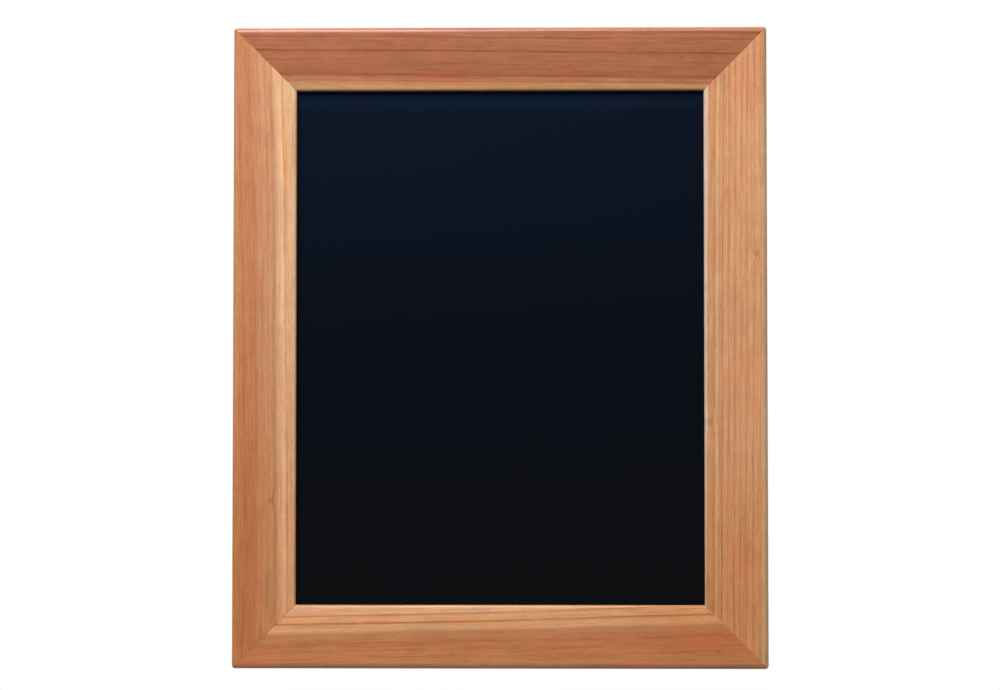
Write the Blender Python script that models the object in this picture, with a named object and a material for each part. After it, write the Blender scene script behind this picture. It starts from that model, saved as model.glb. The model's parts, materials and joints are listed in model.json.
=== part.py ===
"""Wall chalkboard: a mitred cedar moulding holds a coated writing panel and a backing board in its rabbet.

The frame looks along -Y, the wall is the plane y = 0 behind it, and +Z is up. The origin is the point of
the wall behind the middle of the board. All sizes are in metres.
"""

import math

import bmesh
import bpy
from mathutils import Matrix, Vector

# Boards: a 16 by 20 inch writing panel and its backing board
PANEL_WIDTH = 0.4064
PANEL_HEIGHT = 0.5080
CHALK_THICKNESS = 0.0032
BACKING_THICKNESS = 0.0032
PANEL_PLAY = 0.0009
PANEL_EASE = 0.0005

# Moulding: its section, seen along the rail
RAIL_WIDTH = 0.0594
FRAME_THICKNESS = 0.0240
LIP_THICKNESS = 0.0060
RABBET_WIDTH = 0.0095
OUTER_ROUND = 0.0048
INNER_ROUND = 0.0030
BACK_EASE = 0.0010
CORNER_ROUND = 0.0040

# Fits: pieces that rest on each other keep this gap, and cutters run this far past what they cut
SEAT_GAP = 0.0003
MITRE_GAP = 0.0003
OVERRUN = 0.0020

# Bumpers: soft discs under the bottom corners, which set how far the back stands off the wall
BUMPER_HEIGHT = 0.0048
BUMPER_RADIUS = 0.0062
BUMPER_FLAT_RADIUS = 0.0045
BUMPER_WALL = 0.0022
BUMPER_FROM_SIDE = 0.0380
BUMPER_FROM_BOTTOM = 0.0140

# V-nails: folded steel strips pressed across each mitre from the back
NAIL_ARM = 0.0064
NAIL_CURL = 0.0012
NAIL_THICKNESS = 0.0006
NAIL_HEIGHT = 0.0100
NAIL_SHARPENING = 0.0012
NAIL_PLACES = {"outer": 0.0170, "inner": 0.0370}

# Turn buttons: pear-shaped plates, each on its own screw, whose noses hold the backing board in
BUTTON_PIVOT_RADIUS = 0.0055
BUTTON_NOSE_RADIUS = 0.0040
BUTTON_REACH = 0.0150
BUTTON_THICKNESS = 0.0014
BUTTON_EASE = 0.0004
BUTTON_INSET = 0.0105
BUTTON_SPREAD = 0.1300
BEAD_START = 0.0075
BEAD_END = 0.0145
BEAD_RADIUS = 0.0017
BEAD_TOP_RADIUS = 0.0009
BEAD_HEIGHT = 0.0006

# Pan-head screws
BUTTON_SCREW = {"head_radius": 0.0031, "head_height": 0.0020, "shank_radius": 0.00145, "length": 0.0120}
HANGER_SCREW = {"head_radius": 0.0034, "head_height": 0.0019, "shank_radius": 0.00175, "length": 0.0150}
SCREW_TIP = 0.0030
SCREW_TIP_RADIUS = 0.0004
HEAD_WALL_SHARE = 0.35
RECESS_DEPTH_SHARE = 0.70
RECESS_REACH_SHARE = 0.56
RECESS_WING_SHARE = 0.17
RECESS_FLOOR_SHARE = 0.45

# D-ring hangers: a folded strap screwed to each stile, and a ring that swings in its fold
RING_WIRE_RADIUS = 0.0010
RING_CORNER_RADIUS = 0.0022
RING_END_PLAY = 0.0004
STRAP_WIDTH = 0.0120
STRAP_THICKNESS = 0.0009
STRAP_LENGTH = 0.0330
STRAP_FOLD_GAP = 0.0003
STRAP_HEEL_ROUND = 0.0012
STRAP_TAIL_ROUND = 0.0040
STRAP_FALL = math.radians(60)
STRAP_TAIL_MARGIN = 0.0056
STRAP_HOLE_PITCH = 0.0106
HANGER_FROM_TOP = 0.0850
HANGER_FROM_SIDE = 0.0250

# Facets
ROUND_STEPS = 8
CROWN_STEPS = 4
TURN_STEPS = 24
SMOOTH_ANGLE = math.radians(35)

# Sizes and places that follow from the ones above
RABBET_DEPTH = CHALK_THICKNESS + BACKING_THICKNESS + 2 * SEAT_GAP
FRAME_WIDTH = PANEL_WIDTH + 2 * (PANEL_PLAY - RABBET_WIDTH + RAIL_WIDTH)
FRAME_HEIGHT = PANEL_HEIGHT + 2 * (PANEL_PLAY - RABBET_WIDTH + RAIL_WIDTH)
BACK_Y = -(BUMPER_HEIGHT + SEAT_GAP)
HEAD_SEAT_ON_BUTTON = BUTTON_THICKNESS + 2 * SEAT_GAP
HEAD_SEAT_ON_STRAP = 2 * STRAP_THICKNESS + STRAP_FOLD_GAP + 2 * SEAT_GAP
RING_AXIS_HEIGHT = SEAT_GAP + STRAP_THICKNESS + SEAT_GAP + RING_WIRE_RADIUS
RING_BAR = STRAP_WIDTH + 2 * RING_END_PLAY
RING_BOW_RADIUS = RING_BAR / 2 + RING_CORNER_RADIUS
RING_RISE = RING_CORNER_RADIUS + RING_BOW_RADIUS
RING_LEAN = math.asin((RING_AXIS_HEIGHT - SEAT_GAP - RING_WIRE_RADIUS) / RING_RISE)
LOWER_HOLE = STRAP_LENGTH - STRAP_TAIL_MARGIN
STRAP_HOLES = (LOWER_HOLE - STRAP_HOLE_PITCH, LOWER_HOLE)

# The turn about Y that carries the top rail, or the top right corner, to each place round the frame
QUARTER = math.pi / 2
SIDE_TURNS = {"top": 0, "right": QUARTER, "bottom": 2 * QUARTER, "left": 3 * QUARTER}
CORNER_TURNS = {"top_right": 0, "bottom_right": QUARTER, "bottom_left": 2 * QUARTER, "top_left": 3 * QUARTER}


def arc(centre, radius, start, end, steps=ROUND_STEPS):
    """Points along an arc in a plane, from one angle to the other."""
    angles = [start + (end - start) * i / steps for i in range(steps + 1)]
    return [Vector((centre[0] + radius * math.cos(a), centre[1] + radius * math.sin(a))) for a in angles]


def ribbon(line, thickness):
    """The closed outline of a strip that follows a line in a plane, with mitred bends."""
    sides = ([], [])
    for i, point in enumerate(line):
        before = (point - line[i - 1]).normalized() if i else (line[1] - point).normalized()
        after = (line[i + 1] - point).normalized() if i < len(line) - 1 else before
        across = Vector((-(before + after).y, (before + after).x)).normalized()
        stretch = 1 / across.dot(Vector((-before.y, before.x)))
        sides[0].append(point + across * stretch * thickness / 2)
        sides[1].append(point - across * stretch * thickness / 2)
    return sides[0] + sides[1][::-1]


def pear(pivot_radius, nose_radius, reach):
    """The outline round two circles: the pivot end at the origin, and the nose below it."""
    lean = math.asin((pivot_radius - nose_radius) / reach)
    return arc((0, 0), pivot_radius, -lean, math.pi + lean, 2 * ROUND_STEPS) + arc(
        (0, -reach), nose_radius, math.pi + lean, 2 * math.pi - lean, 2 * ROUND_STEPS
    )


def finish_mesh(bm, name):
    """A mesh from bm with its faces pointing out, smooth on rounds and sharp at corners."""
    bmesh.ops.remove_doubles(bm, verts=bm.verts, dist=SEAT_GAP / 1000)
    bmesh.ops.recalc_face_normals(bm, faces=bm.faces)
    mesh = bpy.data.meshes.new(name)
    bm.to_mesh(mesh)
    bm.free()
    mesh.shade_smooth()
    mesh.set_sharp_from_angle(angle=SMOOTH_ANGLE)
    return mesh


def loft(name, sections):
    """A closed solid through sections that have the same number of points."""
    bm = bmesh.new()
    loops = [[bm.verts.new(point) for point in section] for section in sections]
    for low, high in zip(loops, loops[1:]):
        for i in range(len(low)):
            bm.faces.new((low[i - 1], low[i], high[i], high[i - 1]))
    bm.faces.new(loops[0])
    bm.faces.new(loops[-1])
    return finish_mesh(bm, name)


def plate(name, layers):
    """A loft that stands on the XZ plane, through (outline, height along Y) layers."""
    return loft(name, [[Vector((p[0], height, p[1])) for p in outline] for outline, height in layers])


def turned(name, profile):
    """A solid of revolution about Y, from (radius, height) points that start and end on the axis."""
    bm = bmesh.new()
    line = [bm.verts.new((radius, height, 0)) for radius, height in profile]
    edges = [bm.edges.new(pair) for pair in zip(line, line[1:])]
    bmesh.ops.spin(
        bm, geom=line + edges, cent=(0, 0, 0), axis=(0, 1, 0), angle=2 * math.pi, steps=TURN_STEPS
    )
    return finish_mesh(bm, name)


def rectangle(width, height):
    """The corners of a rectangle round the origin."""
    return [Vector((x * width / 2, z * height / 2)) for x, z in ((1, 1), (-1, 1), (-1, -1), (1, -1))]


def material(name, colour, roughness, metallic=0.0):
    made = bpy.data.materials.new(name)
    made.use_nodes = True
    shader = made.node_tree.nodes["Principled BSDF"]
    shader.inputs["Base Color"].default_value = (*colour, 1)
    shader.inputs["Roughness"].default_value = roughness
    shader.inputs["Metallic"].default_value = metallic
    made.diffuse_color = (*colour, 1)
    return made


def put(name, data, finish, location=(0, 0, 0), turn=0.0, tilt=0.0, parent=None):
    """A named object, tilted about X and then turned about Y, with its finish."""
    made = bpy.data.objects.new(name, data)
    bpy.context.scene.collection.objects.link(made)
    made.matrix_world = (
        Matrix.Translation(location) @ Matrix.Rotation(turn, 4, "Y") @ Matrix.Rotation(tilt, 4, "X")
    )
    if finish is not None and not data.materials:
        data.materials.append(finish)
    if parent is not None:
        made.parent = parent
    return made


def cutter(name, mesh, location=(0, 0, 0), turn=0.0):
    made = put(name, mesh, None, location, turn)
    made.hide_render = True
    made.display_type = "WIRE"
    return made


def boolean(target, operation, other):
    modifier = target.modifiers.new(operation.title() + "_" + other.name, "BOOLEAN")
    modifier.operation = operation
    modifier.solver = "EXACT"
    modifier.object = other
    return target


def settled(target, helpers):
    """The mesh that an object's booleans make. The object goes, and so do the helpers that cut it."""
    graph = bpy.context.evaluated_depsgraph_get()
    mesh = bpy.data.meshes.new_from_object(target.evaluated_get(graph))
    mesh.shade_smooth()
    mesh.set_sharp_from_angle(angle=SMOOTH_ANGLE)
    for item in (target, *helpers):
        bpy.data.objects.remove(item)
    return mesh


def moulding_section():
    """The rail's section: x runs in from the outer edge and y from the back face to the front."""
    ridge = Vector((OUTER_ROUND, FRAME_THICKNESS - OUTER_ROUND))
    lip = Vector((RAIL_WIDTH, RABBET_DEPTH + LIP_THICKNESS))
    run = lip - ridge
    bevel = math.atan2(-run.y, run.x) + math.asin(OUTER_ROUND / run.length)
    inner = (lip.x - INNER_ROUND, lip.y + INNER_ROUND * (math.tan(bevel) - 1 / math.cos(bevel)))
    seat = RAIL_WIDTH - RABBET_WIDTH
    return [
        *arc(ridge, OUTER_ROUND, math.pi, math.pi / 2 - bevel),
        *arc(inner, INNER_ROUND, math.pi / 2 - bevel, 0),
        Vector((RAIL_WIDTH, RABBET_DEPTH)),
        Vector((seat, RABBET_DEPTH)),
        Vector((seat, 0)),
        Vector((BACK_EASE, 0)),
        Vector((0, BACK_EASE)),
    ]


def rail_mesh(name, length):
    """Moulding run past both ends along X, outer edge up, then cut at 45 degrees to its length."""
    bm = bmesh.new()
    start = -length / 2 - OVERRUN
    section = [bm.verts.new((start, -p.y, -p.x)) for p in moulding_section()]
    run = bmesh.ops.extrude_face_region(bm, geom=[bm.faces.new(section)])
    moved = [item for item in run["geom"] if isinstance(item, bmesh.types.BMVert)]
    bmesh.ops.translate(bm, verts=moved, vec=(length + 2 * OVERRUN, 0, 0))
    tip = length / 2 - MITRE_GAP / math.sqrt(2)
    for end in (1, -1):
        parts = bm.verts[:] + bm.edges[:] + bm.faces[:]
        cut = bmesh.ops.bisect_plane(
            bm, geom=parts, plane_co=(end * tip, 0, 0), plane_no=(end, 0, -1), clear_outer=True
        )
        rim = [item for item in cut["geom_cut"] if isinstance(item, bmesh.types.BMEdge)]
        bmesh.ops.contextual_create(bm, geom=rim)
    return finish_mesh(bm, name)


def nail_line(extra=0.0):
    """A V-nail's line: arms along -X and -Z from the fold at the origin, with curled ends."""
    curl = NAIL_CURL / math.sqrt(2)
    end = Vector((-NAIL_ARM - extra, 0))
    tip = end + Vector((-curl, -curl))
    return [tip, end, Vector((0, 0)), Vector((0, end.x)), Vector((tip.y, tip.x))]


def nail_mesh():
    """The sheet is ground to an edge at its front end, which goes in first."""
    body = ribbon(nail_line(), NAIL_THICKNESS)
    edge = ribbon(nail_line(), NAIL_THICKNESS / 4)
    return plate("v_nail", [(edge, -NAIL_HEIGHT), (body, NAIL_SHARPENING - NAIL_HEIGHT), (body, 0)])


def nail_slot_mesh():
    outline = ribbon(nail_line(SEAT_GAP), NAIL_THICKNESS + 2 * SEAT_GAP)
    return plate("nail_slot", [(outline, -NAIL_HEIGHT - SEAT_GAP), (outline, OVERRUN)])


def screw_mesh(name, sizes):
    """A pan-head wood screw: its head's underside is the XZ plane, and its point runs along -Y."""
    head, rise = sizes["head_radius"], sizes["head_height"]
    shank, length = sizes["shank_radius"], sizes["length"]
    wall = rise * HEAD_WALL_SHARE
    crown = [
        (head * math.cos(a), wall + (rise - wall) * math.sin(a))
        for a in [math.pi / 2 * i / CROWN_STEPS for i in range(CROWN_STEPS)]
    ]
    profile = [
        (0, -length),
        (SCREW_TIP_RADIUS, -length),
        (shank, SCREW_TIP - length),
        (shank, 0),
        (head, 0),
        *crown,
        (0, rise),
    ]
    screw = put(name, turned(name, profile), None)
    reach, wing = head * RECESS_REACH_SHARE, head * RECESS_WING_SHARE
    corners = [(reach, wing), (wing, wing), (wing, reach)]
    cross = [
        Matrix.Rotation(turn, 2) @ Vector(corner)
        for turn in [quarter * math.pi / 2 for quarter in range(4)]
        for corner in corners
    ]
    floor = [point * RECESS_FLOOR_SHARE for point in cross]
    recess = plate(name + "_recess", [(floor, rise * (1 - RECESS_DEPTH_SHARE)), (cross, rise + SEAT_GAP)])
    drive = cutter(name + "_drive", recess)
    boolean(screw, "DIFFERENCE", drive)
    return settled(screw, [drive])


def round_cutter_mesh(name, radius, low, high):
    """A cylinder along Y that clears a shank of this radius."""
    clear = radius + SEAT_GAP
    return turned(name, [(0, low), (clear, low), (clear, high), (0, high)])


def button_mesh():
    """A pressed steel pear, with its pivot hole, eased upper edge and stiffening bead."""
    full = pear(BUTTON_PIVOT_RADIUS, BUTTON_NOSE_RADIUS, BUTTON_REACH)
    eased = pear(BUTTON_PIVOT_RADIUS - BUTTON_EASE, BUTTON_NOSE_RADIUS - BUTTON_EASE, BUTTON_REACH)
    layers = [(full, 0), (full, BUTTON_THICKNESS - BUTTON_EASE), (eased, BUTTON_THICKNESS)]
    button = put("button", plate("button", layers), None)
    hole = cutter(
        "button_hole",
        round_cutter_mesh("button_hole", BUTTON_SCREW["shank_radius"], -OVERRUN, BUTTON_THICKNESS + OVERRUN),
    )
    length = BEAD_END - BEAD_START
    foot = [p - Vector((0, BEAD_START)) for p in pear(BEAD_RADIUS, BEAD_RADIUS, length)]
    top = [p - Vector((0, BEAD_START)) for p in pear(BEAD_TOP_RADIUS, BEAD_TOP_RADIUS, length)]
    rise = [(foot, BUTTON_THICKNESS / 2), (foot, BUTTON_THICKNESS), (top, BUTTON_THICKNESS + BEAD_HEIGHT)]
    bead = cutter("button_bead", plate("button_bead", rise))
    boolean(button, "DIFFERENCE", hole)
    boolean(button, "UNION", bead)
    return settled(button, [hole, bead])


def strap_line():
    """The strap's middle line: the ring's axis is its origin, x runs up the board and y out from its back."""
    loop = RING_WIRE_RADIUS + SEAT_GAP + STRAP_THICKNESS / 2
    upper = STRAP_THICKNESS + STRAP_FOLD_GAP - loop
    heel = STRAP_HEEL_ROUND + STRAP_THICKNESS / 2
    level = 1 - math.cos(STRAP_FALL)
    fall = (loop - upper - (loop + heel) * level) / math.sin(STRAP_FALL)
    around = arc((0, 0), loop, -math.pi / 2, math.pi / 2 + STRAP_FALL, 2 * ROUND_STEPS)
    foot = around[-1] + Vector((-math.cos(STRAP_FALL), -math.sin(STRAP_FALL))) * fall
    centre = (foot.x - heel * math.sin(STRAP_FALL), upper + heel)
    onto = arc(centre, heel, STRAP_FALL - math.pi / 2, -math.pi / 2, ROUND_STEPS // 2)
    return [Vector((-STRAP_LENGTH, -loop)), *around, *onto, Vector((-STRAP_LENGTH, upper))]


def strap_mesh():
    """The strip folded round the ring's bar, drilled through both leaves, with its tail rounded."""
    outline = ribbon(strap_line(), STRAP_THICKNESS)
    half = STRAP_WIDTH / 2
    folded = loft("strap", [[Vector((x, p.y, p.x)) for p in outline] for x in (-half, half)])
    strap = put("strap", folded, None)
    reach = RING_AXIS_HEIGHT + OVERRUN
    shank = HANGER_SCREW["shank_radius"]
    holes = [
        cutter("strap_hole_%d" % i, round_cutter_mesh("strap_hole", shank, -reach, reach), (0, 0, -place))
        for i, place in enumerate(STRAP_HOLES)
    ]
    trims = []
    for side in (1, -1):
        trim = corner_trim(STRAP_TAIL_ROUND, -reach, reach)
        place = (side * half, 0, -STRAP_LENGTH)
        trims.append(cutter("strap_trim_%d" % side, trim, place, QUARTER if side > 0 else 2 * QUARTER))
    for helper in holes + trims:
        boolean(strap, "DIFFERENCE", helper)
    return settled(strap, holes + trims)


def corner_trim(radius, low, high):
    """What rounding a corner takes away, for a corner at the origin that points along +X and +Z."""
    curve = arc((-radius, -radius), radius, 0, math.pi / 2)
    outline = [
        *curve,
        Vector((-radius, OVERRUN)),
        Vector((OVERRUN, OVERRUN)),
        Vector((OVERRUN, -radius)),
    ]
    return plate("corner_trim", [(outline, low), (outline, high)])


def ring_curve():
    """The ring's wire: a straight bar on the X axis, rounded corners and a half-round bow above it."""
    half = RING_BAR / 2
    line = [
        *arc((half, RING_CORNER_RADIUS), RING_CORNER_RADIUS, -math.pi / 2, 0, ROUND_STEPS // 2),
        *arc((0, RING_CORNER_RADIUS), RING_BOW_RADIUS, 0, math.pi, 3 * ROUND_STEPS)[1:-1],
        *arc((-half, RING_CORNER_RADIUS), RING_CORNER_RADIUS, math.pi, 3 * math.pi / 2, ROUND_STEPS // 2),
    ]
    curve = bpy.data.curves.new("d_ring", "CURVE")
    curve.dimensions = "3D"
    curve.bevel_depth = RING_WIRE_RADIUS
    curve.bevel_resolution = 4
    spline = curve.splines.new("POLY")
    spline.points.add(len(line) - 1)
    for point, place in zip(spline.points, line):
        point.co = (place.x, 0, place.y, 1)
    spline.use_cyclic_u = True
    return curve


def bumper_mesh():
    """A moulded disc with a rounded rim and a flat face for the wall."""
    shoulder = [
        (
            BUMPER_FLAT_RADIUS + (BUMPER_RADIUS - BUMPER_FLAT_RADIUS) * math.cos(a),
            BUMPER_WALL + (BUMPER_HEIGHT - BUMPER_WALL) * math.sin(a),
        )
        for a in [math.pi / 2 * i / CROWN_STEPS for i in range(CROWN_STEPS + 1)]
    ]
    return turned("bumper", [(0, 0), (BUMPER_RADIUS, 0), *shoulder, (0, BUMPER_HEIGHT)])


def out_from_centre(side):
    """The direction from the board's middle to one side, and half the frame's size that way."""
    turn = SIDE_TURNS[side]
    half = FRAME_HEIGHT / 2 if side in ("top", "bottom") else FRAME_WIDTH / 2
    return Vector((math.sin(turn), 0, math.cos(turn))), half


def corner_of(corner):
    """The frame's outer corner, as X and Z."""
    turn = CORNER_TURNS[corner] + math.pi / 4
    across, up = math.copysign(1, math.sin(turn)), math.copysign(1, math.cos(turn))
    return Vector((across * FRAME_WIDTH / 2, 0, up * FRAME_HEIGHT / 2)), Vector((across, 0, up))


def nail_places():
    """(name, place, turn) for each V-nail, on the mitre line at the back face."""
    for corner, turn in CORNER_TURNS.items():
        point, out = corner_of(corner)
        for row, inset in NAIL_PLACES.items():
            place = point - out * inset + Vector((0, BACK_Y, 0))
            yield "v_nail_%s_%s" % (corner, row), place, turn


def button_places():
    """(name, place on the back face, turn) for each turn button, with its nose towards the backing board."""
    inset = RAIL_WIDTH - RABBET_WIDTH - BUTTON_INSET
    for side, turn in SIDE_TURNS.items():
        out, half = out_from_centre(side)
        base = out * (half - inset) + Vector((0, BACK_Y, 0))
        if side in ("top", "bottom"):
            yield side, base, turn
            continue
        for row, sign in (("upper", 1), ("lower", -1)):
            yield side + "_" + row, base + Vector((0, 0, sign * BUTTON_SPREAD)), turn


def hanger_places():
    """(side, place on the back face) below which each strap hangs: the foot of the ring's axis."""
    height = FRAME_HEIGHT / 2 - HANGER_FROM_TOP
    across = FRAME_WIDTH / 2 - HANGER_FROM_SIDE
    return (("left", Vector((-across, BACK_Y, height))), ("right", Vector((across, BACK_Y, height))))


def wood_cutters():
    """Everything that is taken out of the moulding: nail slots, pilot holes and the rounded outer corners."""
    made = []
    slot = nail_slot_mesh()
    for name, place, turn in nail_places():
        made.append(cutter("slot_" + name, slot, place, turn))
    button_pilot = round_cutter_mesh(
        "button_pilot", BUTTON_SCREW["shank_radius"],
        HEAD_SEAT_ON_BUTTON - BUTTON_SCREW["length"] - SEAT_GAP, OVERRUN,
    )
    for name, place, turn in button_places():
        made.append(cutter("pilot_" + name, button_pilot, place, turn))
    hanger_pilot = round_cutter_mesh(
        "hanger_pilot", HANGER_SCREW["shank_radius"],
        HEAD_SEAT_ON_STRAP - HANGER_SCREW["length"] - SEAT_GAP, OVERRUN,
    )
    for side, place in hanger_places():
        for i, drop in enumerate(STRAP_HOLES):
            made.append(cutter("pilot_%s_%d" % (side, i), hanger_pilot, place - Vector((0, 0, drop))))
    trim = corner_trim(CORNER_ROUND, BACK_Y - FRAME_THICKNESS - OVERRUN, BACK_Y + OVERRUN)
    for corner, turn in CORNER_TURNS.items():
        made.append(cutter("trim_" + corner, trim, corner_of(corner)[0], turn))
    return made


def near(target, helper, reach):
    """Whether a helper lies over a rail, so that each rail carries only its own cuts."""
    corners = [target.matrix_world @ Vector(c) for c in target.bound_box]
    place = helper.matrix_world.translation
    return all(
        min(c[i] for c in corners) - reach <= place[i] <= max(c[i] for c in corners) + reach for i in (0, 2)
    )


def build_frame(cedar, parent):
    cutters = wood_cutters()
    names = {"top": "top_rail", "right": "right_stile", "bottom": "bottom_rail", "left": "left_stile"}
    for side, turn in SIDE_TURNS.items():
        out, half = out_from_centre(side)
        length = FRAME_WIDTH if side in ("top", "bottom") else FRAME_HEIGHT
        place = out * half + Vector((0, BACK_Y, 0))
        blank = put(names[side] + "_blank", rail_mesh(names[side], length), None, place, turn)
        bpy.context.view_layer.update()
        for helper in cutters:
            if near(blank, helper, OVERRUN):
                boolean(blank, "DIFFERENCE", helper)
        put(names[side], settled(blank, []), cedar, place, turn, parent=parent)
    for helper in cutters:
        bpy.data.objects.remove(helper)


def build_boards(coating, hardboard, parent):
    full = rectangle(PANEL_WIDTH, PANEL_HEIGHT)
    eased = rectangle(PANEL_WIDTH - 2 * PANEL_EASE, PANEL_HEIGHT - 2 * PANEL_EASE)
    for name, thickness, finish, back in (
        ("chalk_panel", CHALK_THICKNESS, coating, BACK_Y - BACKING_THICKNESS - SEAT_GAP),
        ("backing_board", BACKING_THICKNESS, hardboard, BACK_Y),
    ):
        layers = [
            (eased, -thickness),
            (full, PANEL_EASE - thickness),
            (full, -PANEL_EASE),
            (eased, 0),
        ]
        put(name, plate(name, layers), finish, (0, back, 0), parent=parent)


def build_nails(steel, parent):
    mesh = nail_mesh()
    for name, place, turn in nail_places():
        put(name, mesh, steel, place, turn, parent=parent)


def build_buttons(steel, parent):
    button = button_mesh()
    screw = screw_mesh("turn_screw", BUTTON_SCREW)
    for name, place, turn in button_places():
        seat = place + Vector((0, SEAT_GAP, 0))
        head = place + Vector((0, HEAD_SEAT_ON_BUTTON, 0))
        put("turn_button_" + name, button, steel, seat, turn, parent=parent)
        put("turn_screw_" + name, screw, steel, head, turn, parent=parent)


def build_hangers(steel, parent):
    strap = strap_mesh()
    ring = ring_curve()
    screw = screw_mesh("hanger_screw", HANGER_SCREW)
    for side, foot in hanger_places():
        axis = foot + Vector((0, RING_AXIS_HEIGHT, 0))
        put("hanger_strap_" + side, strap, steel, axis, parent=parent)
        put("hanger_ring_" + side, ring, steel, axis, tilt=RING_LEAN, parent=parent)
        for row, drop in zip(("upper", "lower"), STRAP_HOLES):
            seat = foot + Vector((0, HEAD_SEAT_ON_STRAP, -drop))
            put("hanger_screw_%s_%s" % (side, row), screw, steel, seat, parent=parent)


def build_bumpers(rubber, parent):
    mesh = bumper_mesh()
    for side, sign in (("left", -1), ("right", 1)):
        across = sign * (FRAME_WIDTH / 2 - BUMPER_FROM_SIDE)
        up = BUMPER_FROM_BOTTOM - FRAME_HEIGHT / 2
        put("bumper_" + side, mesh, rubber, (across, BACK_Y + SEAT_GAP, up), parent=parent)


def main():
    for item in list(bpy.data.objects):
        bpy.data.objects.remove(item)
    board = bpy.data.objects.new("wall_chalkboard", None)
    bpy.context.scene.collection.objects.link(board)
    build_frame(material("cedar", (0.56, 0.29, 0.15), 0.55), board)
    coating = material("chalk_coating", (0.006, 0.007, 0.009), 0.60)
    hardboard = material("hardboard", (0.19, 0.10, 0.05), 0.80)
    build_boards(coating, hardboard, board)
    build_nails(material("nail_steel", (0.35, 0.35, 0.36), 0.45, 1.0), board)
    zinc = material("zinc_plate", (0.66, 0.66, 0.64), 0.35, 1.0)
    build_buttons(zinc, board)
    build_hangers(zinc, board)
    build_bumpers(material("bumper_rubber", (0.02, 0.02, 0.02), 0.75), board)


main()
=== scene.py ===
"""Looks of the wall chalkboard: cedar moulding, writing panel, and the fastenings behind.

All sizes are in metres. The board stands in the plane of X and Z and faces -Y.
"""

import json
import math

import bmesh
import bpy
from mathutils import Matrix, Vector


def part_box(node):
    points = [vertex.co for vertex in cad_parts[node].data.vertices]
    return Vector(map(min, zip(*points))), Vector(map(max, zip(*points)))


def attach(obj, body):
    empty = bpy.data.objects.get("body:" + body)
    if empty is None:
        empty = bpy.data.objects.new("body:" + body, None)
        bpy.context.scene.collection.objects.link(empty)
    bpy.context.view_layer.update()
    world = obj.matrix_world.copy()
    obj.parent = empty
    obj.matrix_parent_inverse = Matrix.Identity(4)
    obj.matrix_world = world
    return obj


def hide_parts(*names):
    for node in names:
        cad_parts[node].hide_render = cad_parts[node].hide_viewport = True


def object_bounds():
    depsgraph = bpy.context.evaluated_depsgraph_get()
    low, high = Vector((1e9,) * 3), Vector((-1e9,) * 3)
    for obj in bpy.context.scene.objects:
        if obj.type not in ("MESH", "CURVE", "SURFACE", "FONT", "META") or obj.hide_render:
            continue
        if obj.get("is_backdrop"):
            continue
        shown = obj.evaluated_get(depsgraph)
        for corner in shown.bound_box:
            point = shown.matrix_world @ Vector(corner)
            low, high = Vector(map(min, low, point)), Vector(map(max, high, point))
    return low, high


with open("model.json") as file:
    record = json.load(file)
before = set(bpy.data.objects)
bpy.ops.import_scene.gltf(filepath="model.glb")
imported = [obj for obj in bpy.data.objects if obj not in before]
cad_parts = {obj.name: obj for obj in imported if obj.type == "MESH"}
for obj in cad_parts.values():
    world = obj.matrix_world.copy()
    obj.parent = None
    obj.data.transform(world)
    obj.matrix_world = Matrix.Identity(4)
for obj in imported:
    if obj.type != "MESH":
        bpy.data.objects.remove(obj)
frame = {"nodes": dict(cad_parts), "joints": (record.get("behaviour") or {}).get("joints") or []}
cad_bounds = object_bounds()

# Moulding: four rails of western red cedar, cut from one run of rabbeted moulding with a sloped face,
# mitred at 45 degrees, glued, sanded round at the corners and lacquered satin on all but the back.
BOARD_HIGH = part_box("top_rail")[1]
STILE_LOW, STILE_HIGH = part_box("left_stile")
HALF_WIDTH = -STILE_LOW.x
HALF_HEIGHT = BOARD_HIGH.z
RAIL_WIDTH = STILE_HIGH.x - STILE_LOW.x
BACK_Y = BOARD_HIGH.y
PANEL_FRONT_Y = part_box("chalk_panel")[0].y
PANEL_HALF_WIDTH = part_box("chalk_panel")[1].x
SEAT_GAP = 0.0003
PANEL_PLAY = 0.0009
RABBET_DEPTH = BACK_Y - PANEL_FRONT_Y + SEAT_GAP
RABBET_WIDTH = PANEL_HALF_WIDTH + PANEL_PLAY - (HALF_WIDTH - RAIL_WIDTH)
LIP_THICKNESS = 0.0060
OUTER_ROUND = 0.0048
INNER_ROUND = 0.0030
BACK_EASE = 0.0010
CORNER_ROUND = 0.0040
FACE_SLOPE = math.radians(11.49)
MITRE_GAP = 0.00004
BACK_SANDING = 0.00005
WELD_DISTANCE = 0.000001
ROUND_STEPS = 14
CORNER_STEPS = 6
SMOOTH_ANGLE = math.radians(32)


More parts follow.
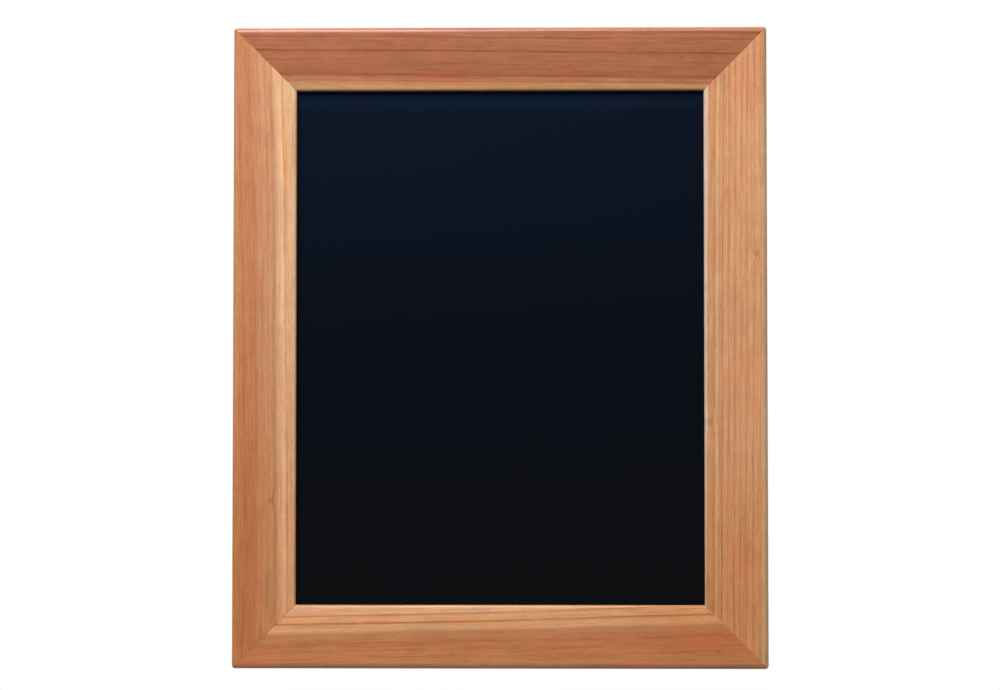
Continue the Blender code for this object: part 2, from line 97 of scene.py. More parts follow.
class Socket:
    """One output of a node in a shader or geometry tree. Maths on it adds Math nodes to that tree."""

    def __init__(self, tree, link=None):
        self.tree = tree
        self.link = link

    def node(self, kind, settings, values, output=0):
        """A new node of any kind: its settings first, then a value or a link for each socket."""
        made = self.tree.nodes.new(kind)
        for name, setting in settings.items():
            if name == "stops":
                set_stops(made.color_ramp.elements, setting)
            elif name == "blend":
                made.color_ramp.interpolation = setting
            else:
                setattr(made, name, setting)
        for name, value in values.items():
            for item in value if isinstance(value, list) else [value]:
                if isinstance(item, Socket):
                    self.tree.links.new(item.link, made.inputs[name])
                else:
                    made.inputs[name].default_value = item
        return Socket(self.tree, made.outputs[output]) if made.outputs else None

    def output(self, name):
        """Another output of the node that this socket is on."""
        return Socket(self.tree, self.link.node.outputs[name])

    def maths(self, operation, first, second=0.0):
        return self.node("ShaderNodeMath", {"operation": operation}, {0: first, 1: second})

    def __add__(self, other):
        return self.maths("ADD", self, other)

    def __sub__(self, other):
        return self.maths("SUBTRACT", self, other)

    def __rsub__(self, other):
        return self.maths("SUBTRACT", other, self)

    def __mul__(self, other):
        return self.maths("MULTIPLY", self, other)

    def __truediv__(self, other):
        return self.maths("DIVIDE", self, other)

    def __rtruediv__(self, other):
        return self.maths("DIVIDE", other, self)

    __radd__ = __add__
    __rmul__ = __mul__

    def smaller(self, other):
        return self.maths("MINIMUM", self, other)

    def larger(self, other):
        return self.maths("MAXIMUM", self, other)

    def within(self, start, end):
        """0 before start and 1 past end, with a smooth rise between them."""
        limits = {"Value": self, "From Min": start, "From Max": end}
        return self.node("ShaderNodeMapRange", {"interpolation_type": "SMOOTHSTEP"}, limits)

    def join(self, x, y, z):
        return self.node("ShaderNodeCombineXYZ", {}, {0: x, 1: y, 2: z})

    def split(self):
        """The X, Y and Z of a vector."""
        parts = self.node("ShaderNodeSeparateXYZ", {}, {0: self})
        return parts.output("X"), parts.output("Y"), parts.output("Z")

    def mix(self, factor, first, second, blend="MIX"):
        """Two colours mixed by a factor."""
        settings = {"data_type": "RGBA", "blend_type": blend, "clamp_factor": True}
        return self.node("ShaderNodeMix", settings, {0: factor, 6: first, 7: second}, 2)

    def noise(self, place, scale, detail=2.0, rough=0.5):
        """Soft noise from 0 to 1 at a place."""
        sizes = {"Vector": place, "Scale": scale, "Detail": detail, "Roughness": rough}
        return self.node("ShaderNodeTexNoise", {}, sizes)

    def bump(self, height, distance):
        """A Normal with this relief, distance metres deep where the height is 1."""
        return self.node("ShaderNodeBump", {}, {"Height": height, "Distance": distance, "Strength": 1.0})


def set_stops(elements, stops):
    """Gives a colour ramp its (place, colour) stops."""
    while len(elements) > 1:
        elements.remove(elements[-1])
    for i, (place, colour) in enumerate(stops):
        stop = elements[0] if i == 0 else elements.new(place)
        stop.position = place
        stop.color = colour


def tint(red, green, blue):
    """A colour given as display values from 0 to 255, made linear by the display's own curve."""
    linear = [((value / 255 + 0.055) / 1.055) ** 2.4 if value > 10 else value / 255 / 12.92
              for value in (red, green, blue)]
    return (*linear, 1.0)


def grey(value):
    return (value, value, value, 1.0)


def surface(name):
    """A new material, its shader and the Object coordinates that its patterns are read at."""
    material = bpy.data.materials.new(name)
    material.use_nodes = True
    shader = material.node_tree.nodes["Principled BSDF"]
    place = Socket(material.node_tree).node("ShaderNodeTexCoord", {}, {}).output("Object")
    return material, shader, place


def dress(shader, **sockets):
    """Sets or links the shader's sockets, which are named with _ for each space."""
    for name, value in sockets.items():
        socket = shader.inputs[name.replace("_", " ")]
        if isinstance(value, Socket):
            value.tree.links.new(value.link, socket)
        else:
            socket.default_value = value


def geometry_tree(name, sizes):
    """A Geometry Nodes tree with a named input for each size. Returns it and its input sockets."""
    tree = bpy.data.node_groups.new(name, "GeometryNodeTree")
    kinds = {int: "NodeSocketInt", float: "NodeSocketFloat", tuple: "NodeSocketVector"}
    tree.interface.new_socket("Geometry", in_out="OUTPUT", socket_type="NodeSocketGeometry")
    tree.interface.new_socket("Geometry", in_out="INPUT", socket_type="NodeSocketGeometry")
    for label, value in sizes.items():
        kind = kinds.get(type(value), "NodeSocketMaterial")
        tree.interface.new_socket(label, in_out="INPUT", socket_type=kind).default_value = value
    start = Socket(tree).node("NodeGroupInput", {}, {})
    return tree, {label: start.output(label) for label in ("Geometry", *sizes)}


def close_tree(geometry, finish):
    """Ends a tree: edges turn sharp or smooth, instances become real and the mesh gets its material."""
    real = geometry.node("GeometryNodeRealizeInstances", {}, {"Geometry": geometry})
    angle = real.node("GeometryNodeInputMeshEdgeAngle", {}, {})
    flat = real.node("FunctionNodeCompare", {"operation": "LESS_THAN"}, {0: angle, 1: SMOOTH_ANGLE})
    real = real.node("GeometryNodeSetShadeSmooth", {"domain": "FACE"}, {"Geometry": real})
    real = real.node(
        "GeometryNodeSetShadeSmooth", {"domain": "EDGE"}, {"Geometry": real, "Shade Smooth": flat}
    )
    done = real.node("GeometryNodeSetMaterial", {}, {"Geometry": real, "Material": finish})
    done.node("NodeGroupOutput", {}, {"Geometry": done})


def grown(name, tree, start, sizes):
    """Runs a tree on a start mesh with these sizes. The result is an object with a plain mesh."""
    seed = bpy.data.objects.new(name + "_start", start)
    bpy.context.scene.collection.objects.link(seed)
    modifier = seed.modifiers.new("shape", "NODES")
    modifier.node_group = tree
    for socket in tree.interface.items_tree:
        if socket.in_out == "INPUT" and socket.name in sizes:
            modifier[socket.identifier] = sizes[socket.name]
    graph = bpy.context.evaluated_depsgraph_get()
    mesh = bpy.data.meshes.new_from_object(seed.evaluated_get(graph))
    bpy.data.objects.remove(seed)
    mesh.name = name
    made = bpy.data.objects.new(name, mesh)
    bpy.context.scene.collection.objects.link(made)
    return made


def point_mesh(name, points, edges=(), **values):
    """A mesh of bare points for a tree to start from, with a number at each point for each name."""
    mesh = bpy.data.meshes.new(name)
    mesh.from_pydata([Vector(point) for point in points], edges, [])
    for label, numbers in values.items():
        mesh.attributes.new(label, "FLOAT", "POINT").data.foreach_set("value", numbers)
    return mesh


def stored(start, name):
    """The number that each point of the start mesh keeps under this name."""
    return start.node("GeometryNodeInputNamedAttribute", {"data_type": "FLOAT"}, {"Name": name})


def filleted(curve, steps, radius):
    """The curve with its corners rounded."""
    rounds = {"Curve": curve, "Count": steps, "Radius": radius, "Limit Radius": True}
    return curve.node("GeometryNodeFilletCurve", {"mode": "POLY"}, rounds)


def swept(path, section):
    """The section swept along the path, with caps where the path has ends."""
    sweep = {"Curve": path, "Profile Curve": section, "Fill Caps": True}
    return path.node("GeometryNodeCurveToMesh", {}, sweep)


def moved(geometry, turn=(0, 0, 0), shift=(0, 0, 0)):
    """The geometry turned about X, Y and Z and then shifted."""
    place = {"Geometry": geometry, "Rotation": turn, "Translation": shift}
    return geometry.node("GeometryNodeTransform", {}, place)


def moulding_section():
    """The moulding's corners, as (inset from the outer edge, height over the back), and their rounds."""
    seat = RAIL_WIDTH - RABBET_WIDTH
    lip = RABBET_DEPTH + LIP_THICKNESS
    corners = [
        ((0, BACK_SANDING, 0), BACK_EASE),
        ((0, lip + RAIL_WIDTH * math.tan(FACE_SLOPE), 0), OUTER_ROUND),
        ((RAIL_WIDTH, lip, 0), INNER_ROUND),
        ((RAIL_WIDTH, RABBET_DEPTH, 0), 0),
        ((seat, RABBET_DEPTH, 0), 0),
        ((seat, BACK_SANDING, 0), 0),
    ]
    loop = [(i, (i + 1) % len(corners)) for i in range(len(corners))]
    return point_mesh("section", [c[0] for c in corners], loop, round=[c[1] for c in corners])


def moulding_tree():
    """Sweeps the section along a rail, mitres both ends and sands the outer corners round."""
    sizes = {
        "Length": 2 * HALF_WIDTH,
        "Edge": HALF_HEIGHT,
        "Turn": 0.0,
        "Back": BACK_Y,
        "Mitre Gap": MITRE_GAP,
        "Corner Round": CORNER_ROUND,
        "Corner Steps": CORNER_STEPS,
        "Round Steps": ROUND_STEPS,
        "Finish": None,
    }
    tree, size = geometry_tree("mitred_moulding", sizes)
    start = size["Geometry"]
    section = start.node("GeometryNodeMeshToCurve", {}, {"Mesh": start})
    section = filleted(section, size["Round Steps"], stored(start, "round"))
    run = start.node("GeometryNodeCurvePrimitiveLine", {}, {"Start": (0, 0, -1), "End": (0, 0, 1)})
    rings = 2 * size["Corner Steps"] + 2
    run = start.node("GeometryNodeResampleCurve", {}, {"Curve": run, "Count": rings})
    rail = swept(run, section)
    inset, height, along = start.node("GeometryNodeInputPosition", {}, {}).split()
    side = along.maths("SIGN", along)
    half = size["Length"] / 2

    # Each half of the run has its sections at even turns of the corner's round, from 0 degrees, where it
    # starts, to 45 degrees at the mitre.
    turn = (along * side * (rings - 1) - 1) / (rings - 2) * (math.pi / 4)
    bend = size["Corner Round"]
    inset = inset.larger(bend - bend * turn.maths("COSINE", turn))
    ring = half - bend + bend * turn.maths("SINE", turn)
    reach = ring.smaller(half - inset - size["Mitre Gap"])
    place = start.join(side * reach, size["Back"] - height, size["Edge"] - inset)
    mitred = start.node("GeometryNodeSetPosition", {}, {"Geometry": rail, "Position": place})
    weld = {"Geometry": mitred, "Distance": WELD_DISTANCE}
    welded = start.node("GeometryNodeMergeByDistance", {}, weld)
    close_tree(moved(welded, turn=start.join(0.0, size["Turn"], 0.0)), size["Finish"])
    return tree


MM = 0.001

# Each rail's grain. Tones are display colours across the face, and rings the depths of its dark summer
# rings, both at a number of millimetres in from the outer edge; the right stile's palest tone, at its
# inner round, is partly a painted highlight. The rings slant, bow, lean and wander as they run. Deepens
# says from where to where along the rail, and how much, the wood darkens. Knots are (along, inset).
GRAIN = {
    "top": {
        "tones_and_highlight": [
            (2, tint(187, 116, 79)), (10, tint(199, 124, 87)), (22, tint(193, 116, 79)),
            (36, tint(196, 120, 85)), (45, tint(191, 114, 74)), (50, tint(211, 134, 95)),
            (54, tint(222, 158, 107)), (58, tint(223, 164, 116)),
        ],
        "rings": [(3.5, 0.6), (10, 0.5), (14.3, 0.25), (18, 0.15), (23.3, 0.8), (32.4, 0.2), (36.8, 0.25),
                  (41, 0.15), (46.2, 0.55), (51.6, 0.4)],
        "slant": 0.011, "bow": 0.0, "lean": 0.7, "wander": 0.9, "seed": 3.1,
        "deepens": [(0.10, 0.24, 0.10)],
        "knots": [],
    },
    "bottom": {
        "tones_and_highlight": [
            (3, tint(197, 130, 82)), (14, tint(201, 124, 67)), (26, tint(194, 117, 67)),
            (34, tint(195, 126, 74)), (41, tint(220, 160, 110)), (46, tint(220, 157, 97)),
            (50, tint(226, 159, 104)), (57, tint(228, 169, 123)),
        ],
        "rings": [(12.5, 0.2), (19, 0.25), (26.5, 0.3), (36.8, 0.3), (46.6, 0.9), (54.4, 0.7)],
        "slant": 0.026, "bow": 0.0, "lean": 1.1, "wander": 1.6, "seed": 11.7,
        "deepens": [(0.02, 0.22, 0.80)],
        "knots": [(0.206, 0.017)],
    },
    "left": {
        "tones_and_highlight": [
            (3, tint(212, 142, 91)), (10, tint(211, 136, 90)), (20, tint(211, 137, 90)),
            (28, tint(220, 153, 108)), (41.5, tint(220, 158, 117)), (44.5, tint(238, 182, 141)),
            (51, tint(255, 203, 157)), (53, tint(241, 180, 132)), (58, tint(239, 190, 148)),
        ],
        "rings": [(10.5, 0.25), (17.5, 0.15), (22, 0.15), (28.8, 0.25), (34.5, 0.2), (40.5, 0.35),
                  (51.8, 0.5)],
        "slant": 0.013, "bow": 2.2, "lean": 1.4, "wander": 2.2, "seed": 5.3,
        "deepens": [(-0.10, 0.24, 0.95)],
        "knots": [(0.146, 0.036)],
    },
    "right": {
        "tones_and_highlight": [
            (2, tint(222, 181, 144)), (8, tint(225, 161, 113)), (38, tint(225, 161, 115)),
            (44, tint(224, 161, 113)), (47.5, tint(228, 175, 131)), (50.5, tint(218, 148, 87)),
            # The pinkish white at 57.5 mm is partly a painted highlight on the inner round, where the
            # lamp's gloss falls.
            (54.5, tint(216, 162, 120)), (57.5, tint(230, 194, 173)),
        ],
        "rings": [(7, 0.25), (13.4, 0.4), (20, 0.45), (25.5, 0.35), (31.1, 0.45), (37, 0.4), (42.8, 0.6),
                  (45.4, 0.4), (49.8, 0.35), (55.6, 0.35)],
        "slant": 0.006, "bow": 0.0, "lean": 0.8, "wander": 0.7, "seed": 8.9,
        "deepens": [(0.07, 0.22, 1.0), (-0.18, -0.27, 0.6)],
        "knots": [(-0.089, 0.010), (0.071, 0.055)],
    },
}

# Each rail's node, its quarter turns from the top rail, the way along it and the way out of the board.
SIDES = {
    "top": ("top_rail", 0, (1, 0, 0), (0, 0, 1)),
    "right": ("right_stile", 1, (0, 0, -1), (1, 0, 0)),
    "bottom": ("bottom_rail", 2, (1, 0, 0), (0, 0, -1)),
    "left": ("left_stile", 3, (0, 0, -1), (-1, 0, 0)),
}

# Rings: the millimetres over which each darkens up to its line and ends past it, how its depth comes and
# goes along the rail, and how the rings drift and ripple. A run is the share of its length that a pattern
# takes, and a noise is given by its scale, its detail and, where it isn't the usual half, its roughness.
SUMMER_WOOD = (0.58, 0.42, 0.32, 1.0)
RING_RISE = 2.0
RING_END = 0.9
RING_FADE_NOISE = (14.0, 1.0)
RING_FADE_START = 0.45
RING_FADE_RANGE = 1.1
DRIFT_RUN = 0.12
DRIFT_NOISE = (22.0, 1.0)
DRIFT_WIDTH = 4 * MM
RIPPLE_RUN = 0.25
RIPPLE_NOISE = (90.0, 2.0)
RIPPLE_WIDTH = 1.2 * MM

# A bow is the millimetres by which the rings bend away where the square of the way along the rail is this.
BOW_SQUARE = 0.05

# Pin knots: dark eyes, drawn out along the rail, that push the rings aside.
KNOT_SHADE = (0.60, 0.48, 0.38, 1.0)
KNOT_DEPTH = 0.55
KNOT_LENGTH_SHARE = 0.35
KNOT_CORE = 0.3 * MM
KNOT_EDGE = 3.2 * MM
KNOT_PUSH = 2.5 * MM
KNOT_PUSH_REACH = 5 * MM
KNOT_PUSH_EASE = 2 * MM

# Pinker and more golden patches, the deeper colour that one end of a rail has, and the glue's stain at
# the mitres.
PINK_TINT = (1.05, 0.97, 0.95, 1.0)
GOLD_TINT = (0.96, 1.03, 1.02, 1.0)
BLUSH_RUN = 0.35
BLUSH_NOISE = (48.0, 3.0, 0.55)
BLUSH_SPAN = (0.30, 0.50)
PINK_SPAN = (0.5, 0.7)
DEEP_TINT = (0.97, 0.84, 0.70, 1.0)
STAIN_SHADE = (0.62, 0.52, 0.44, 1.0)
STAIN_NOISE = (130.0, 2.0)
STAIN_SPAN = (0.35, 0.65)
STAIN_WIDTH = 1.6 * MM
STAIN_DEPTH = 0.45

# Satin lacquer over the wood's own gloss, none of it on the raw back, and the grain's relief.
RAW_TINT = (0.98, 1.02, 1.06, 1.0)
RAW_SPAN = (0.1 * MM, 0.4 * MM)
RAW_ROUGHNESS = 0.2
WOOD_ROUGHNESS = 0.54
WOOD_GLOSS = 0.4
FIBRE_ROUGHNESS = 0.16
LACQUER = 0.60
LACQUER_ROUGHNESS = 0.22
GRAIN_RELIEF = 0.00006
RING_RELIEF_SHARE = 0.6
FIBRE_RELIEF_SHARE = 0.5
STREAK_RELIEF_SHARE = 0.4

# The finer figure: its run, its noise, the part of the noise that shows, and how much that darkens.
FIBRE_SHADE = (0.80, 0.72, 0.64, 1.0)
FIGURE = {
    "fibre": (0.035, (1500.0, 3.0, 0.7), (0.35, 0.75), 0.80),
    "streak": (0.035, (420.0, 3.0, 0.65), (0.40, 0.72), 0.75),
    "fleck": (0.3, (700.0, 2.0, 0.6), (0.45, 0.75), 0.45),
    "cloud": (0.6, (75.0, 3.0, 0.6), (0.30, 0.75), 0.42),
}


def ring_stops(rings):
    """Ramp stops for a board's rings: each darkens slowly from one side and ends sharply on the other."""
    width = RAIL_WIDTH / MM
    stops = [(0.0, grey(0.0))]
    for inset, depth in rings:
        shape = ((inset - RING_RISE, 0.0), (inset, depth), (inset + RING_END, 0.0))
        stops += [(max(place, 0.0) / width, grey(value)) for place, value in shape]
    return stops


def spans(side):
    """Half the length of a side's rail, and how far its outer edge is from the board's middle."""
    return (HALF_WIDTH, HALF_HEIGHT) if side in ("top", "bottom") else (HALF_HEIGHT, HALF_WIDTH)


def on_rail(place, side):
    """A place as the rail sees it: along the rail, in from its outer edge, and up from its back."""
    run, out = SIDES[side][2:]
    dot = {"operation": "DOT_PRODUCT"}
    along = place.node("ShaderNodeVectorMath", dot, {0: place, 1: run}, "Value")
    inset = spans(side)[1] - place.node("ShaderNodeVectorMath", dot, {0: place, 1: out}, "Value")
    return along, inset, BACK_Y - place.split()[1]


def ring_line(place, grain, along, inset, height):
    """The inset that a place has among the grain's rings, and how much of a pin knot it holds."""
    seed = grain["seed"]
    below = RABBET_DEPTH + LIP_THICKNESS + (RAIL_WIDTH - inset) * math.tan(FACE_SLOPE) - height
    drift = place.noise(place.join(along * DRIFT_RUN + seed, inset, height), *DRIFT_NOISE) - 0.5
    ripple = place.noise(place.join(along * RIPPLE_RUN + seed, inset, height), *RIPPLE_NOISE) - 0.5
    shift = along * grain["slant"] - along * along * (grain["bow"] * MM / BOW_SQUARE)
    ring = inset - shift + below * grain["lean"]
    ring = ring + drift * (DRIFT_WIDTH * grain["wander"]) + ripple * RIPPLE_WIDTH
    knots = 0.0
    for at, into in grain["knots"]:
        away_along, away_in = along - at, inset - into
        away = place.maths("SQRT", away_along * away_along * KNOT_LENGTH_SHARE + away_in * away_in)
        push = place.maths("EXPONENT", away * away * (-1 / KNOT_PUSH_REACH ** 2)) * KNOT_PUSH
        ring = ring + push * place.maths("TANH", away_in * (1 / KNOT_PUSH_EASE))
        knots = (1 - away.within(KNOT_CORE, KNOT_EDGE)).larger(knots)
    return ring, knots


def cedar(side):
    """Cedar with the rail's own growth rings, finer figure, pin knots, patches and lacquer."""
    grain = GRAIN[side]
    seed = grain["seed"]
    material, shader, place = surface("cedar_" + side)
    along, inset, height = on_rail(place, side)
    ring, knots = ring_line(place, grain, along, inset, height)
    share = place.maths("PINGPONG", ring, RAIL_WIDTH) / RAIL_WIDTH
    tones_and_highlight = [(into * MM / RAIL_WIDTH, colour) for into, colour in grain["tones_and_highlight"]]
    tone = place.node("ShaderNodeValToRGB", {"blend": "EASE", "stops": tones_and_highlight}, {0: share})

    # The rings are a ramp in grey, which the maths below reads as a number.
    lines = {"blend": "LINEAR", "stops": ring_stops(grain["rings"])}
    rings = place.node("ShaderNodeValToRGB", lines, {0: share})
    fade = place.noise(place.join(along, seed, 0.0), *RING_FADE_NOISE)
    colour = place.mix(rings * (RING_FADE_START + fade * RING_FADE_RANGE), tone, SUMMER_WOOD, "MULTIPLY")
    figure = {}
    for name, (run_share, noise, span, depth) in FIGURE.items():
        figure[name] = place.noise(place.join(along * run_share + seed, ring, height), *noise)
        colour = place.mix(figure[name].within(*span) * depth, colour, FIBRE_SHADE, "MULTIPLY")
    blush = place.noise(place.join(along * BLUSH_RUN, ring, height + seed), *BLUSH_NOISE)
    warmth = place.mix(blush.within(*PINK_SPAN), GOLD_TINT, PINK_TINT)
    colour = place.mix(blush.within(*BLUSH_SPAN), colour, warmth, "MULTIPLY")
    for start, end, strength in grain["deepens"]:
        colour = place.mix(along.within(start, end) * strength, colour, DEEP_TINT, "MULTIPLY")
    colour = place.mix(knots * KNOT_DEPTH, colour, KNOT_SHADE, "MULTIPLY")
    joint = spans(side)[0] - place.maths("ABSOLUTE", along) - inset
    stain = (1 - joint.within(0.0, STAIN_WIDTH)) * place.noise(place, *STAIN_NOISE).within(*STAIN_SPAN)
    colour = place.mix(stain * STAIN_DEPTH, colour, STAIN_SHADE, "MULTIPLY")
    raw = 1 - height.within(*RAW_SPAN)
    colour = place.mix(raw, colour, RAW_TINT, "MULTIPLY")
    relief = rings * RING_RELIEF_SHARE + figure["fibre"] * FIBRE_RELIEF_SHARE
    dress(
        shader,
        Base_Color=colour,
        Roughness=WOOD_ROUGHNESS + (figure["fibre"] - 0.5) * FIBRE_ROUGHNESS + raw * RAW_ROUGHNESS,
        Specular_IOR_Level=WOOD_GLOSS,
        Coat_Weight=(1 - raw) * LACQUER,
        Coat_Roughness=LACQUER_ROUGHNESS,
        Normal=place.bump(relief + figure["streak"] * STREAK_RELIEF_SHARE, GRAIN_RELIEF),
    )
    return material


moulding = moulding_tree()
section = moulding_section()
for side in SIDES:
    node, quarter = SIDES[side][:2]
    reach, edge = spans(side)
    turn = quarter * math.pi / 2
    sizes = {"Length": 2 * reach, "Edge": edge, "Turn": turn, "Finish": cedar(side)}
    rail = grown("moulding_" + side, moulding, section.copy(), sizes)
    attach(rail, "frame")
    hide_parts(node)

# V-nails: folded strips of cold-rolled steel, two across each mitre, pressed in from the back until
# their edges lie flush. The sheared edge that shows is bright and finely scored.
SHEARED_BRIGHT = (0.36, 0.36, 0.37, 1)
SHEARED_DULL = (0.22, 0.20, 0.18, 1)
SHEARED_ROUGHNESS = 0.34
PATINA_NOISE = (700.0, 3.0)
PATINA_SPAN = (0.4, 0.7)
PATINA_ROUGHNESS = 0.22
SCORING_NOISE = (9000.0, 2.0)
SCORING_RUN = 0.1
SCORING_DEPTH = 0.00001


def refinish(prefix, material):
    """Gives a new material to every model node whose name starts with the prefix."""
    for name, node in frame["nodes"].items():
        if name.startswith(prefix):
            node.data.materials.clear()
            node.data.materials.append(material)


nail_steel, shader, place = surface("sheared_steel")
x, y, z = place.split()
scoring = place.noise(place.join(x + z, y * SCORING_RUN, x - z), *SCORING_NOISE)
patina = place.noise(place, *PATINA_NOISE)
dress(
    shader,
    Base_Color=place.mix(patina.within(*PATINA_SPAN), SHEARED_BRIGHT, SHEARED_DULL),
    Metallic=1.0,
    Roughness=SHEARED_ROUGHNESS + patina * PATINA_ROUGHNESS,
    Normal=place.bump(scoring, SCORING_DEPTH),
)
refinish("v_nail_", nail_steel)

# Writing panel: a sheet of tempered hardboard with a smooth, near black chalk coating, sprayed on.
# The coating's colour carries a painted blue sheen towards the top and a painted light band under the top
# rail's shadow; it is browner at the foot, with a low satin sheen.
# Painted sheen: the blacks turn bluer and lighter from the middle up, lightest just under the top rail
# where its shadow falls.
EDGE_PAINTED_SHEEN = (0.0052, 0.0100, 0.0215, 1)
TOP_PAINTED_SHEEN = (0.0036, 0.0050, 0.0102, 1)
MIDDLE_BLACK = (0.0034, 0.0034, 0.0044, 1)
FOOT_BLACK = (0.0052, 0.0043, 0.0030, 1)
BLACKS_AND_PAINTED_SHEEN = [(0.04, FOOT_BLACK), (0.45, MIDDLE_BLACK), (0.95, TOP_PAINTED_SHEEN), (0.995, EDGE_PAINTED_SHEEN)]
SHEEN_TINT = (0.10, 0.42, 1.0, 1.0)
SHEEN_LEVEL = 0.12
COATING_ROUGHNESS = 0.48
CLOUD_NOISE = (9.0, 3.0)
CLOUD_RISE = 0.03
CLOUD_ROUGHNESS = 0.06
TOOTH_NOISE = (2600.0, 2.0, 0.6)
TOOTH_DEPTH = 0.000012
chalk_coating, shader, place = surface("chalk_coating")
cloud = place.noise(place, *CLOUD_NOISE) - 0.5
# Base colour: the painted sheen ramp, read from the foot of the opening up.
rise = place.split()[2] / (2 * (HALF_HEIGHT - RAIL_WIDTH)) + 0.5 + cloud * CLOUD_RISE
dress(
    shader,
    Base_Color=place.node("ShaderNodeValToRGB", {"blend": "EASE", "stops": BLACKS_AND_PAINTED_SHEEN}, {0: rise}),
    Roughness=COATING_ROUGHNESS + cloud * CLOUD_ROUGHNESS,
    Specular_IOR_Level=SHEEN_LEVEL,
    Specular_Tint=SHEEN_TINT,
    Normal=place.bump(place.noise(place, *TOOTH_NOISE), TOOTH_DEPTH),
)
refinish("chalk_panel", chalk_coating)

# Backing board: bare hardboard behind the panel, with the fine weave of the press screen in its back.
# Its pulp is an even brown with darker and paler fibres, and rubbed a little paler where it was stacked.
WEAVE_PITCH = 0.0011
WEAVE_SHADE = (0.72, 0.70, 0.68, 1)
WEAVE_DEPTH = 0.22
WEAVE_RELIEF_SHARE = 0.5
PULP_PALE = tint(131, 96, 66)
PULP_DARK = tint(98, 68, 45)
PULP_NOISE = (900.0, 4.0, 0.75)
PULP_SPAN = (0.30, 0.70)
PULP_ROUGHNESS = 0.2
BOARD_ROUGHNESS = 0.78
BOARD_RELIEF = 0.00008

# Paler patches over the pulp: their noise, the part of it that shows, how strongly, and their colour.
PATCHES = (
    ((170.0, 3.0, 0.6), (0.52, 0.70), 0.35, tint(156, 120, 86)),
    ((7.0, 2.0), (0.35, 0.75), 0.22, tint(140, 106, 74)),
)
hardboard, shader, place = surface("screen_backed_hardboard")
x, y, z = place.split()
weft = place.maths("SINE", x * (2 * math.pi / WEAVE_PITCH))
warp = place.maths("SINE", z * (2 * math.pi / WEAVE_PITCH))
weave = weft * warp
pulp = place.noise(place, *PULP_NOISE)
brown = place.mix(pulp.within(*PULP_SPAN), PULP_PALE, PULP_DARK)
for noise, span, strength, paler in PATCHES:
    brown = place.mix(place.noise(place, *noise).within(*span) * strength, brown, paler)
dress(
    shader,
    Base_Color=place.mix((weave + 1) * WEAVE_DEPTH, brown, WEAVE_SHADE, "MULTIPLY"),
    Roughness=BOARD_ROUGHNESS + (pulp - 0.5) * PULP_ROUGHNESS,
    Normal=place.bump(weave * WEAVE_RELIEF_SHARE + pulp, BOARD_RELIEF),
)
refinish("backing_board", hardboard)

# Turn buttons: six pears of pressed, zinc-plated steel with a stiffening bead. Each turns on its own
# screw, and its nose holds the backing board in the rabbet.
BUTTON_PIVOT_RADIUS = 0.0055
BUTTON_NOSE_RADIUS = 0.0040
BUTTON_REACH = 0.0150
BUTTON_THICKNESS = 0.0014
BUTTON_EDGE = 0.0005
BUTTON_HOLE_RADIUS = 0.00175
BEAD_START = 0.0075
BEAD_END = 0.0145
BEAD_RADIUS = 0.0017
BEAD_ROUND = 0.0010
BEAD_HEIGHT = 0.0006
DISC_STEPS = 56
EDGE_STEPS = 6
FACE_UP = -math.pi / 2
QUARTERS = {"top": 0, "right": 1, "bottom": 2, "left": 3}
BUTTONS = ("top", "right_upper", "right_lower", "bottom", "left_upper", "left_lower")

# The plating's cloudy patches, rubbed marks and fine scratches, and how much each dulls the metal.
ZINC_CLOUD_NOISE = (260.0, 3.0)
ZINC_CLOUD_SPAN = (0.35, 0.70)
ZINC_CLOUD_SHADE = 0.72
ZINC_CLOUD_DEPTH = 0.6
ZINC_CLOUD_ROUGHNESS = 0.22
ZINC_MARK = (0.30, 0.29, 0.27, 1)
ZINC_MARK_RUN = 0.2
ZINC_MARK_SCALE_SHARE = 0.7
ZINC_MARK_DETAIL = (2.0, 0.7)
ZINC_MARK_SPAN = (0.60, 0.72)
ZINC_MARK_DEPTH = 0.35
ZINC_SCRATCH_RUN = 0.25
ZINC_SCRATCH_DETAIL = (3.0, 0.7)
ZINC_SCRATCH_SPAN = (0.5, 0.8)
ZINC_SCRATCH_ROUGHNESS = 0.10
ZINC_RELIEF = 0.000012


def edge_discs(x, y, radius, low, high, across, rise):
    """Discs, as (x, y, height, radius), of a round plate whose upper edge is rounded off."""
    turns = [math.pi / 2 * i / EDGE_STEPS for i in range(EDGE_STEPS + 1)]
    rim = [
        (x, y, high - rise * (1 - math.sin(turn)), radius - across * (1 - math.cos(turn)))
        for turn in turns
    ]
    return [(x, y, low, radius)] + rim


def hull(start, discs, steps=DISC_STEPS):
    """The convex solid that just holds these discs."""
    rims = []
    for x, y, height, radius in discs:
        rim = start.node("GeometryNodeMeshCircle", {}, {"Vertices": steps, "Radius": radius})
        rims.append(moved(rim, shift=start.join(x, y, height)))
    joined = start.node("GeometryNodeJoinGeometry", {}, {"Geometry": rims})
    return start.node("GeometryNodeConvexHull", {}, {"Geometry": joined})


def combined(operation, solids, tools=()):
    """Solids united or intersected, or the first one with the tools cut out of it."""
    meshes = {"Mesh 1": solids[0], "Mesh 2": list(tools)} if tools else {"Mesh 2": solids}
    return solids[0].node("GeometryNodeMeshBoolean", {"operation": operation, "solver": "EXACT"}, meshes)


def on_seats(solid, seats, tilt):
    """A copy of the solid at each seat, tilted about X and then turned about Y as the seat says."""
    turns = solid.join(tilt, stored(solid, "turn"), 0.0)
    copies = {"Points": seats, "Instance": solid, "Rotation": turns}
    return solid.node("GeometryNodeInstanceOnPoints", {}, copies)


